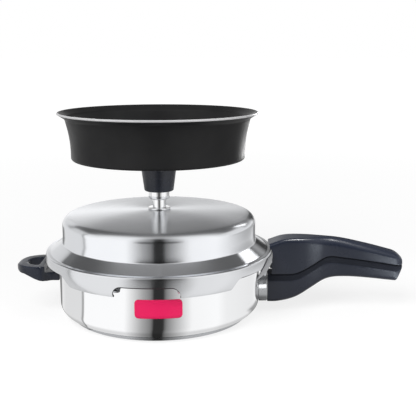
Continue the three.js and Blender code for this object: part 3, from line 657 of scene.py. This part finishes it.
weight = rounded(
    [
        (0, NEEDLE_ROOM_TOP, 0),
        (NEEDLE_ROOM, NEEDLE_ROOM_TOP, 0),
        (NEEDLE_ROOM, WEIGHT_BORE_TOP, 0),
        (WEIGHT_BORE, WEIGHT_BORE_TOP, 0),
        (WEIGHT_BORE, WEIGHT_FOOT, 0.4),
        (WEIGHT_SKIRT, WEIGHT_FOOT, 1.2),
        (WEIGHT_SKIRT, WEIGHT_SHOULDER, 0.6),
        (WEIGHT_NECK, WEIGHT_SHOULDER, 0),
        (WEIGHT_NECK, WEIGHT_TOP, 0.5),
        (0, WEIGHT_TOP, 0),
    ],
    5,
)
piece("weight_body", turned(weight, ROUND_SMALL), "weight", STEEL, ["weight_core"])
cap = rounded(
    [
        (0, WEIGHT_TOP + SEAT, 0),
        (WEIGHT_NECK + SEAT, WEIGHT_TOP + SEAT, 0),
        (WEIGHT_NECK + SEAT, CAP_FOOT_Z, 0.4),
        (CAP_FOOT, CAP_FOOT_Z, 1.6),
        (CAP_TOP, CAP_TOP_Z, 1.8),
        (0, CAP_TOP_Z, 0),
    ],
    6,
)
piece("weight_grip", turned(cap, 96), "weight", CAP_PAINTED_LIGHT, ["weight_cap"])

# Dark pan
edge_z = PAN_FLOOR_Z + PAN_STRAIGHT + PAN_FLARE_HEIGHT
bare_radius = PAN_RADIUS + PAN_FLARE + PAN_BARE * PAN_RIM_REACH
pan_line = rounded(
    [
        (0, PAN_FLOOR_Z, 0),
        (PAN_RADIUS, PAN_FLOOR_Z, PAN_CORNER),
        (PAN_RADIUS, PAN_FLOOR_Z + PAN_STRAIGHT, PAN_BEND),
        (PAN_RADIUS + PAN_FLARE, edge_z, 4),
        (bare_radius, edge_z + PAN_BARE * PAN_RIM_RISE, 0),
        (PAN_RADIUS + PAN_FLARE + PAN_RIM_REACH, edge_z + PAN_RIM_RISE, 0),
    ],
    16,
)
pan_inside = offset(pan_line, PAN_SHEET)
lip_middle = (pan_line[-1] + pan_inside[-1]) / 2
lip_out = (pan_line[-1] - pan_line[-2]).normalized() * (PAN_LIP_BULGE * PAN_SHEET)
pan = piece(
    "dark_pan",
    turned([*pan_line, lip_middle + lip_out, *pan_inside[::-1]]),
    "pan",
    COAT,
    ["inner_pan"],
    60,
)
BARE_SLACK = 0.2
rim_start = (bare_radius - BARE_SLACK) * MM
corners = pan.data.vertices
refinished(pan, BARE_RIM, lambda face: all(corners[i].co.xy.length > rim_start for i in face.vertices))

# Long handle
ROOT_HALF = 13.5
grip_width = guide(
    [(POT_RADIUS, ROOT_HALF), (125, ROOT_HALF), (146, 12.9), (164, 10), (205.9, 12.4), (TIP_X, 12.6)]
)
split = guide(
    [(100, 40.2), (118.25, 40.2), (136.5, 41.2), (152.25, 48.8), (168, 57.4), (183.75, 56.8), (TIP_X, 48.5)]
)
HOOD_START = 109.8
POT_HALF_START = 108.5
crown = guide([(HOOD_START, 71.2), (123.5, 75.8), (147, 77), (175.875, 76), (205.9, 69.6), (TIP_X, 59.2)])
belly = guide(
    [(100, 12), (118.25, 11.8), (136.5, 16.4), (152.25, 25.75), (168, 34.6), (183.75, 36.9), (TIP_X, 32.5)]
)
edge_round = guide([(100, 3.2), (130, 3.6), (150, 5), (172, 8), (200, 9), (TIP_X, 8)])
NOSE_LENGTH = 10
NOSE_DROP = 5.8
NOSE_NARROWING = 0.55
HEEL_LENGTH = 7
HEEL_EDGE = 1.5
CORNER_POINTS = 8
SIDE_POINTS = 8


def grip_section(x, upper, lower, upper_round, lower_round):
    """A closed section of one half, with elliptic corners and straight sides."""
    half = grip_width(x) * (1 - NOSE_NARROWING * nose(into(x, TIP_X, NOSE_LENGTH)))
    top, foot = upper(x), lower(x)
    tall = top - foot
    ring = []

    def corner(side_y, side_z, size, start):
        wide, high = min(size[0], 0.8 * half), min(size[1], 0.42 * tall)
        flat = size[2]
        middle = (side_y * (half - wide), (top - high) if side_z > 0 else (foot + high))
        ends = [(math.cos(a), math.sin(a)) for a in (start, start + math.pi / 2)]
        for t in spread(0, 1, CORNER_POINTS):
            a = start + t * math.pi / 2
            c = (1 - flat) * math.cos(a) + flat * (ends[0][0] * (1 - t) + ends[1][0] * t)
            s = (1 - flat) * math.sin(a) + flat * (ends[0][1] * (1 - t) + ends[1][1] * t)
            ring.append((x, middle[0] + wide * c, middle[1] + high * s))

    def run(count):
        ring.extend([None] * count)

    corner(-1, -1, lower_round(x), math.pi)
    run(SIDE_POINTS)
    corner(1, -1, lower_round(x), 1.5 * math.pi)
    run(SIDE_POINTS)
    corner(1, 1, upper_round(x), 0)
    run(SIDE_POINTS)
    corner(-1, 1, upper_round(x), math.pi / 2)
    run(SIDE_POINTS)
    block_size = CORNER_POINTS + 1 + SIDE_POINTS
    for k in range(4):
        a = Vector(ring[k * block_size + CORNER_POINTS])
        b = Vector(ring[(k + 1) * block_size % len(ring)])
        for i in range(SIDE_POINTS):
            ring[k * block_size + CORNER_POINTS + 1 + i] = a.lerp(b, (i + 1) / (SIDE_POINTS + 1))
    return [tuple(p) for p in ring]


def grip_half(start, upper, lower, upper_round, lower_round):
    stations = [start + (TIP_X - start) * (1 - (1 - s) ** 1.6) for s in spread(0, 1, 90)]
    rings = [grip_section(x, upper, lower, upper_round, lower_round) for x in stations]
    return columns(rings, closed=False)


def lid_half_top(x):
    return crown(x) - NOSE_DROP * nose(into(x, TIP_X, NOSE_LENGTH))


def pot_half_top(x):
    return split(x) - HANDLE_GAP / 2


def pot_half_foot(x):
    heel = into(x, TIP_X, HEEL_LENGTH) ** 1.5
    return belly(x) + (pot_half_top(x) - HEEL_EDGE - belly(x)) * heel


# Corners of a half as width, height and flatness
def crest(x):
    return edge_round(x), edge_round(x), 0


def split_round(x):
    return 0.8, 0.8, 0


def shelf(x):
    return 2.4, 7.0, 0.25


def keel(x):
    return 4.5, 4.5, 0


BAR_SCREW_X = 128
TONGUE_SCREW_X = 136.8
SCREW_HOLE = 4.2
STRAP_ROOM_HALF = 9.3
STRAP_ROOM = 2.2
roof_room = offset([Vector((0, LID_TOP_Z)), *ROOF[1:], Vector((SKIRT_RADIUS, 0))], SEAT)
roof_room.append(Vector((0, 0)))
lid_half = combined(
    grip_half(HOOD_START, lid_half_top, lambda x: split(x) + HANDLE_GAP / 2, crest, split_round),
    [
        turned(roof_room),
        block(
            (POT_RADIUS, -STRAP_ROOM_HALF, 0),
            (SKIRT_RADIUS + STRAP_ROOM, STRAP_ROOM_HALF, CREASE_Z - STRAP_ROOM),
        ),
        drum(TONGUE_SCREW_X, 0, SCREW_HOLE, 30, 46),
    ],
)
lid_grip = piece("lid_grip", lid_half, "lid", BAKELITE, ["lid_handle"], 40)
# The lid half's downward faces get painted shade.
refinished(lid_grip, SPLIT_PAINTED_SHADE, lambda face: face.normal.z < -0.45)
pot_half = combined(
    grip_half(POT_HALF_START, pot_half_top, pot_half_foot, shelf, keel),
    [drum(BAR_SCREW_X, 0, SCREW_HOLE, 0, 17.8)],
)
pot_grip = piece("pot_grip", pot_half, "pot", BAKELITE, ["pot_handle"], 40)
# The pot half's upward faces, under the lid half, get painted shade.
refinished(pot_grip, SPLIT_PAINTED_SHADE, lambda face: face.normal.z > 0.12)

# Ferrule
GUARD_Z = 22.8
GUARD_WIDTH = 24
GUARD_HEIGHT = 26.4
GUARD_ROUND = 12
GUARD_SHEET = 1.2
GUARD_END = 108.2


def guard_ring(inset, x):
    """A rounded rectangle round the ferrule's axis. It follows the pot's wall where x is None."""
    ring = []
    radius = GUARD_ROUND - inset
    for k, (sy, sz) in enumerate([(1, 1), (-1, 1), (-1, -1), (1, -1)]):
        for a in spread(k * math.pi / 2, (k + 1) * math.pi / 2, 14):
            y = sy * (GUARD_WIDTH / 2 - GUARD_ROUND) + radius * math.cos(a)
            z = GUARD_Z + sz * (GUARD_HEIGHT / 2 - GUARD_ROUND) + radius * math.sin(a)
            ring.append((math.sqrt((POT_RADIUS + SEAT) ** 2 - y * y) if x is None else x, y, z))
    return ring


guard = [
    guard_ring(GUARD_SHEET, None),
    guard_ring(0, None),
    guard_ring(0, POT_RADIUS + 1.4),
    guard_ring(0, GUARD_END - 1.2),
    guard_ring(0, GUARD_END - 0.7),
    guard_ring(0.15, GUARD_END - 0.3),
    guard_ring(0.5, GUARD_END),
    guard_ring(GUARD_SHEET, GUARD_END),
]
piece("ferrule", columns(guard), "pot", FERRULE_PAINTED_SHADE, ["flame_guard"])

# Loop handle
LOOP_REACH = 43.5
LOOP_HALF = 25
LOOP_ROOT = 19.5
LOOP_NECK = 4
LOOP_NECK_HALF = 17
LOOP_BAR = 10.5
LOOP_TOP = 51.2
LOOP_FOOT = 35.5
LOOP_TIP_FOOT = 43.2
LOOP_NOSE = 8
LOOP_INNER_X = -50
LOOP_SKIRT_ROOM = 1.8
LOOP_VOXEL = 0.7


def loop_plan(inset):
    root = -POT_RADIUS - LOOP_ROOT
    wide, deep = LOOP_REACH - LOOP_ROOT - inset, LOOP_HALF - inset
    return [(root + wide * math.cos(a), deep * math.sin(a)) for a in spread(math.pi / 2, 1.5 * math.pi, 40)]


def curve(a, b, c, d, steps=14):
    a, b, c, d = (Vector(p) for p in (a, b, c, d))
    return [
        a * (1 - t) ** 3 + b * 3 * t * (1 - t) ** 2 + c * 3 * t * t * (1 - t) + d * t**3
        for t in spread(0, 1, steps)[1:]
    ]


def loop_side():
    tip, root = -POT_RADIUS - LOOP_REACH, -POT_RADIUS - LOOP_ROOT
    nose_x, bend_x = tip + LOOP_NOSE, root + LOOP_BAR
    middle = (LOOP_TOP + LOOP_TIP_FOOT) / 2
    line = [Vector((LOOP_INNER_X, LOOP_TOP)), Vector((nose_x, LOOP_TOP))]
    line += curve((nose_x, LOOP_TOP), (tip + 2, LOOP_TOP), (tip, LOOP_TOP - 1), (tip, middle))
    line += curve((tip, middle), (tip, LOOP_TIP_FOOT + 1), (tip + 2, LOOP_TIP_FOOT), (nose_x, LOOP_TIP_FOOT))
    line += curve(
        (nose_x, LOOP_TIP_FOOT), ((nose_x + root) / 2, LOOP_TIP_FOOT), (root, LOOP_FOOT), (bend_x, LOOP_FOOT)
    )
    return [*line, Vector((LOOP_INNER_X, LOOP_FOOT))]


neck_x, root_x = -POT_RADIUS - LOOP_NECK, -POT_RADIUS - LOOP_ROOT
swell_x = (neck_x + root_x) / 2
swell = curve((neck_x, LOOP_NECK_HALF), (swell_x, LOOP_NECK_HALF), (swell_x, LOOP_HALF), (root_x, LOOP_HALF))
swell = [(p.x, p.y) for p in swell[:-1]]
near_side = [(LOOP_INNER_X, LOOP_NECK_HALF), (neck_x, LOOP_NECK_HALF), *swell]
outer_plan = [*near_side, *loop_plan(0), *[(x, -y) for x, y in near_side[::-1]]]
loop = extruded(outer_plan, 20, 70, lambda a, b, h: (a, b, h))
loop = combined(
    loop,
    [extruded(loop_side(), -40, 40, lambda a, b, h: (a, h, b))],
    "INTERSECT",
)
loop = combined(
    loop,
    [
        extruded(loop_plan(LOOP_BAR), 10, 80, lambda a, b, h: (a, b, h)),
        drum(0, 0, POT_RADIUS + SEAT, -10, 90),
        drum(0, 0, SKIRT_RADIUS + LOOP_SKIRT_ROOM, LUG_FOOT - LOOP_SKIRT_ROOM, 90),
    ],
)
soft_loop = plain_object(loop)
remesh = soft_loop.modifiers.new("even", "REMESH")
remesh.mode = "VOXEL"
remesh.voxel_size = LOOP_VOXEL * MM
smooth = soft_loop.modifiers.new("round", "SMOOTH")
smooth.factor = 0.5
smooth.iterations = 14
loop = settled(soft_loop)
piece("side_grip", loop, "pot", BAKELITE, ["side_handle"], 60)

# Plain label on the pot's front
LABEL_WIDTH = 43
LABEL_HEIGHT = 17.5
LABEL_MIDDLE = 34.2
LABEL_ROUND = 3.5
LABEL_RAISE = 0.5
LABEL_GAP = 0.05
EDGE_DROP = 0.15
EDGE_INSET = 0.25
LABEL_AZIMUTH = math.radians(-87.4)


def label_columns():
    made = []
    straight = LABEL_WIDTH / 2 - LABEL_ROUND
    ends = [straight + LABEL_ROUND * math.sin(a) for a in spread(0, math.pi / 2, 8)]
    for u in [*[-e for e in ends[::-1]], *spread(-straight, straight, 24)[1:-1], *ends]:
        past = max(0, abs(u) - straight)
        half = LABEL_HEIGHT / 2 - LABEL_ROUND + math.sqrt(max(0, LABEL_ROUND**2 - past**2))
        angle = LABEL_AZIMUTH + u / POT_RADIUS
        low, high = POT_RADIUS + LABEL_GAP, POT_RADIUS + LABEL_RAISE
        section = [
            (low, -half),
            (high - EDGE_DROP, -half),
            *[(high, z) for z in spread(-half + EDGE_INSET, half - EDGE_INSET, 6)],
            (high - EDGE_DROP, half),
            (low, half),
        ]
        made.append(spoke([Vector((r, LABEL_MIDDLE + z)) for r, z in section], angle))
    return made


piece("label_plate", columns(label_columns(), closed=False), "pot", LABEL)

# Solids that stay as they are
FINISHES = {
    "satin_steel": SATIN,
    "polished_steel": STEEL,
    "aluminium": ALUMINIUM,
    "brass": BRASS,
    "bakelite": BAKELITE,
    "dark_coat": COAT,
    "rubber": RUBBER,
    "fusible_alloy": ALLOY,
}
for entry in frame["record"]["subparts"]:
    kept = frame["nodes"][entry["node"]]
    if kept.hide_render:
        continue
    for place in kept.material_slots:
        place.link = "OBJECT"
        place.material = FINISHES[entry["material_slot"]]

# Stage
scene = bpy.context.scene
scene.view_settings.view_transform = "Standard"


# The studio as an upright round wall mirrors it, by the wall's azimuth in degrees: a grey surround,
# two white panels, the left one with a dark frame, and a dark flag between them
PANELS = [
    (-130, 0.10),
    (-113, 0.10),
    (-108, 0.40),
    (-100, 0.80),
    (-94, 1.0),
    (-90, 1.0),
    (-80, 0.85),
    (-70, 0.76),
    (-48.4, 0.78),
    (-47.6, 0.32),
    (-46.8, 0.32),
    (-46, 1.05),
    (-17.5, 1.05),
    (-7.4, 0.42),
    (-2.2, 0.20),
    (-1.6, 0.03),
    (4.0, 0.03),
    (5.6, 0.22),
    (20, 1.0),
    (36, 1.05),
    (43, 0.93),
    (72, 0.86),
    (90, 1.0),
    (100, 0.80),
    (108, 0.40),
    (113, 0.10),
    (130, 0.10),
]
PANELS_END = PANELS[-1][0]
WALL = POT_RADIUS * MM


def ramp(tree, value, stops):
    made = built(tree, "ShaderNodeValToRGB", {0: value})
    elements = made.color_ramp.elements
    elements.remove(elements[-1])
    for i, (place, grey) in enumerate(stops):
        stop = elements[0] if i == 0 else elements.new(place)
        stop.position = place
        stop.color = (grey, grey, grey, 1)
    return made.outputs[0]


def bearing(tree, x, y):
    """The azimuth of a place or a direction, from the front and to the right."""
    return figure(tree, "ARCTAN2", x, figure(tree, "MULTIPLY", y, -1.0))


def panels(tree, azimuth, turn):
    """The panels' light towards an azimuth, where turn is that azimuth over the wall's."""
    wall = figure(tree, "DIVIDE", azimuth, turn)
    share = ranged(tree, wall, -math.radians(PANELS_END), math.radians(PANELS_END))
    return ramp(tree, share, [((degrees / PANELS_END + 1) / 2, grey) for degrees, grey in PANELS])


def product(tree, first, *others):
    for other in others:
        first = blended(tree, 1.0, first, other, "MULTIPLY")
    return first


def distance(tree, value, middle):
    return figure(tree, "ABSOLUTE", figure(tree, "SUBTRACT", value, middle))


def grey(tree, value):
    return built(tree, "ShaderNodeCombineXYZ", {0: value, 1: value, 2: value}).outputs[0]


def turned_by(angle, none, full):
    """A range of an angle, in degrees."""
    return angle, math.radians(none), math.radians(full)


def part(tree, share, ranges):
    """A share where each (value, none, full) is past its full end, and 0 where one is past the other end."""
    for value, none, full in ranges:
        share = figure(tree, "MULTIPLY", ranged(tree, value, none, full), share)
    return share


def lit_where(tree, share, *ranges):
    return grey(tree, part(tree, share, ranges))


def dimmed(tree, share, *ranges):
    return grey(tree, figure(tree, "SUBTRACT", 1.0, part(tree, share, ranges)))


# Floor, which mirror rays see as the lower part of the studio
FLOOR_SIZE = 20
FLOOR_DROP = 0.0004
FLOOR_GREY = (0.30, 0.30, 0.30, 1)
# Thin dark lines of painted shade on the floor, which mirror rays see at the wall's two edges: the side, the
# edge's place in X and Y, and the line's inner angle
EDGE_LINES = ((-1.0, 0.098, -0.02, 149), (1.0, 0.0998, -0.007, 155))
EDGE_FADE = 6
EDGE_SHADE = 0.75
bm = bmesh.new()
bmesh.ops.create_grid(bm, x_segments=1, y_segments=1, size=FLOOR_SIZE)
floor = plain_object(bm, "floor")
floor.location.z = -FLOOR_DROP
floor_material = bpy.data.materials.new("pale_floor")
floor_material.use_nodes = True
floor.data.materials.append(floor_material)
tree = floor_material.node_tree
tree.nodes.clear()
path = built(tree, "ShaderNodeLightPath").outputs
place = built(tree, "ShaderNodeNewGeometry").outputs["Position"]
x, y, _ = built(tree, "ShaderNodeSeparateXYZ", {0: place}).outputs
away = off_axis(tree, x, y)
turn = figure(tree, "SUBTRACT", 2.0, figure(tree, "DIVIDE", WALL, figure(tree, "MAXIMUM", away, WALL)))
clear = figure(tree, "MULTIPLY", figure(tree, "SUBTRACT", away, WALL), 10.0)
# Painted shade on the floor, which only mirror rays see: near the pot's foot, under the ferrule, far to the
# right, and in wedges that the wall's edges mirror.
foot_shade = ramp(tree, clear, [(0.0, 0.72), (0.1, 1.0)])
ferrule_foot = [(distance(tree, x, 0.110), 0.016, 0.010), (distance(tree, y, 0), 0.032, 0.016)]
shade_under_ferrule = dimmed(tree, 0.6, *ferrule_foot)
far_right_shade = dimmed(tree, 0.5, (x, 0.25, 0.36), (y, -0.12, 0.20))
mirror = product(tree, panels(tree, bearing(tree, x, y), turn), foot_shade, shade_under_ferrule, far_right_shade)
for side, reach, back, inner in EDGE_LINES:
    past = figure(tree, "SUBTRACT", figure(tree, "MULTIPLY", x, side), reach)
    angle = figure(tree, "ARCTAN2", past, figure(tree, "SUBTRACT", back, y))
    wedge = [turned_by(angle, inner - EDGE_FADE, inner), turned_by(angle, 179, 175), (away, 0.62, 0.5)]
    mirror = product(tree, mirror, dimmed(tree, EDGE_SHADE, *wedge))
mirrored = built(tree, "ShaderNodeEmission", {"Color": mirror}).outputs[0]
plain = built(tree, "ShaderNodeBsdfDiffuse", {"Color": FLOOR_GREY}).outputs[0]
seen = figure(tree, "MAXIMUM", path["Is Camera Ray"], path["Is Transmission Ray"])
level = ranged(tree, away, 0.4, 2.0, 0.74, 0.92)
lift = built(tree, "ShaderNodeEmission", {"Strength": figure(tree, "MULTIPLY", seen, level)}).outputs[0]
plain = built(tree, "ShaderNodeAddShader", {0: plain, 1: lift}).outputs[0]
shown = built(tree, "ShaderNodeMixShader", {0: path["Is Glossy Ray"], 1: plain, 2: mirrored}).outputs[0]
built(tree, "ShaderNodeOutputMaterial", {0: shown})

# World, which mirror rays see as the upper part of the studio
AMBIENT = 0.38
WHITE = (1, 1, 1, 1)
MIRROR_TURN = 2.0
world = bpy.data.worlds.new("studio")
scene.world = world
world.use_nodes = True
tree = world.node_tree
tree.nodes.clear()
path = built(tree, "ShaderNodeLightPath").outputs
direction = built(tree, "ShaderNodeTexCoord").outputs["Generated"]
x, y, z = built(tree, "ShaderNodeSeparateXYZ", {0: direction}).outputs
behind = ramp(tree, z, [(0.0, 1.0), (0.08, 1.0), (0.20, 0.68), (0.30, 0.40), (0.40, 0.14), (1.0, 0.12)])
before = ramp(tree, z, [(0.0, 1.0), (0.20, 1.0), (0.5, 0.95), (0.9, 0.85), (1.0, 0.4)])
ceiling = blended(tree, ranged(tree, y, -0.3, 0.2), before, behind)
azimuth = bearing(tree, x, y)
from_back = figure(tree, "DIVIDE", y, off_axis(tree, x, y))
beside = lit_where(tree, 0.85, (from_back, 0.72, 0.55), (z, 0.60, 0.46))
near_left = [turned_by(azimuth, -132, -138), turned_by(azimuth, -168, -158), (z, 0.50, 0.45)]
for patch in (beside, lit_where(tree, 0.9, *near_left)):
    ceiling = blended(tree, 1.0, ceiling, patch, "LIGHTEN")
level = blended(tree, ranged(tree, z, 0.8, 0.98), panels(tree, azimuth, MIRROR_TURN), WHITE)
aside = distance(tree, azimuth, math.radians(2.4))
flag = dimmed(tree, 0.92, turned_by(aside, 30, 20), (z, 0.40, 0.20))
corner = [turned_by(azimuth, 176, 171), turned_by(azimuth, 150, 158), (z, 0.34, 0.26)]
gobo = dimmed(tree, 0.95, *corner)
dome_light = [turned_by(azimuth, -157, -167), turned_by(azimuth, -182, -173), (z, 0.04, 0.12)]
boost = grey(tree, figure(tree, "ADD", 1.0, part(tree, 0.55, dome_light)))
studio = product(tree, level, ceiling, product(tree, flag, gobo), boost)
ambient = built(tree, "ShaderNodeBackground", {"Strength": AMBIENT, "Color": WHITE}).outputs[0]
gloss = built(tree, "ShaderNodeBackground", {"Color": studio}).outputs[0]
white = built(tree, "ShaderNodeBackground", {"Color": WHITE}).outputs[0]
seen = figure(tree, "MAXIMUM", path["Is Camera Ray"], path["Is Transmission Ray"])
lit = built(tree, "ShaderNodeMixShader", {0: path["Is Glossy Ray"], 1: ambient, 2: gloss}).outputs[0]
lit = built(tree, "ShaderNodeMixShader", {0: seen, 1: lit, 2: white}).outputs[0]
built(tree, "ShaderNodeOutputWorld", {0: lit})

# Lamps
LAMP_AIM = Vector((0.03, 0, 0.09))


def softbox(name, place, width, height, power, mirrored=True):
    data = bpy.data.lights.new(name, "AREA")
    data.shape = "RECTANGLE"
    data.size, data.size_y = width, height
    data.energy = power
    lamp = bpy.data.objects.new(name, data)
    lamp.location = place
    lamp.visible_glossy = mirrored
    aim = LAMP_AIM - Vector(place)
    lamp.rotation_euler = aim.to_track_quat("-Z", "Y").to_euler()
    scene.collection.objects.link(lamp)
    return lamp


def only_on(lamp, names, shaded=True):
    """Lets a lamp light only the pieces that are named, and lets other pieces shade them or not."""
    lit_pieces = bpy.data.collections.new(lamp.name)
    for name in names:
        lit_pieces.objects.link(bpy.data.objects[name])
    lamp.light_linking.receiver_collection = lit_pieces
    if not shaded:
        lamp.light_linking.blocker_collection = lit_pieces


softbox("key", (-0.6, -1.2, 1.2), 1.0, 1.0, 24, False)
softbox("fill", (1.2, -1.0, 0.9), 0.9, 1.2, 10, False)
strip = softbox("strip", (0.47, -0.5, 1.6), 0.56, 0.1, 44)
only_on(strip, ["side_grip", "weight_grip"])
crest_light = softbox("crest", (0.34, -0.1, 1.6), 0.26, 0.14, 28)
only_on(crest_light, ["lid_grip"])
glow = softbox("glow", (0.298, -0.17, 0.004), 0.075, 0.30, 0.44)
glow.rotation_euler = (math.pi, 0, 0)
glow.visible_camera = False
glow.data.color = (0.84, 0.92, 1.0)
only_on(glow, ["lid_grip", "pot_grip"])
edge = softbox("edge", (0.72, 0.72, 0.66), 0.18, 0.34, 0.38)
only_on(edge, ["lid_dome", "pot_shell"])
band = softbox("band", (0.21, -1.38, 0.51), 0.6, 0.98, 6.2)
only_on(band, ["ferrule"], False)
rim = softbox("rim", (0.75, 1.3, 0.11), 0.25, 0.18, 9)
only_on(rim, ["dark_pan"])

# The steel mirrors the studio alone, as the photograph's does
for name in ("dark_pan", "lid_grip", "pot_grip", "side_grip", "weight_grip"):
    bpy.data.objects[name].visible_glossy = False
for name, kept in frame["nodes"].items():
    if name.endswith(("_bracket", "_screw")):
        kept.visible_glossy = False

# Camera
CAMERA_PLACE = (0.0486, -0.750, 0.2611)
CAMERA_DOWN = 11.71
CAMERA_SENSOR = 36
CAMERA_LENS = 66.4
data = bpy.data.cameras.new("camera")
data.sensor_width = CAMERA_SENSOR
data.lens = CAMERA_LENS
camera = bpy.data.objects.new("camera", data)
camera.location = CAMERA_PLACE
camera.rotation_euler = (math.radians(90 - CAMERA_DOWN), 0, 0)
scene.collection.objects.link(camera)
scene.camera = camera
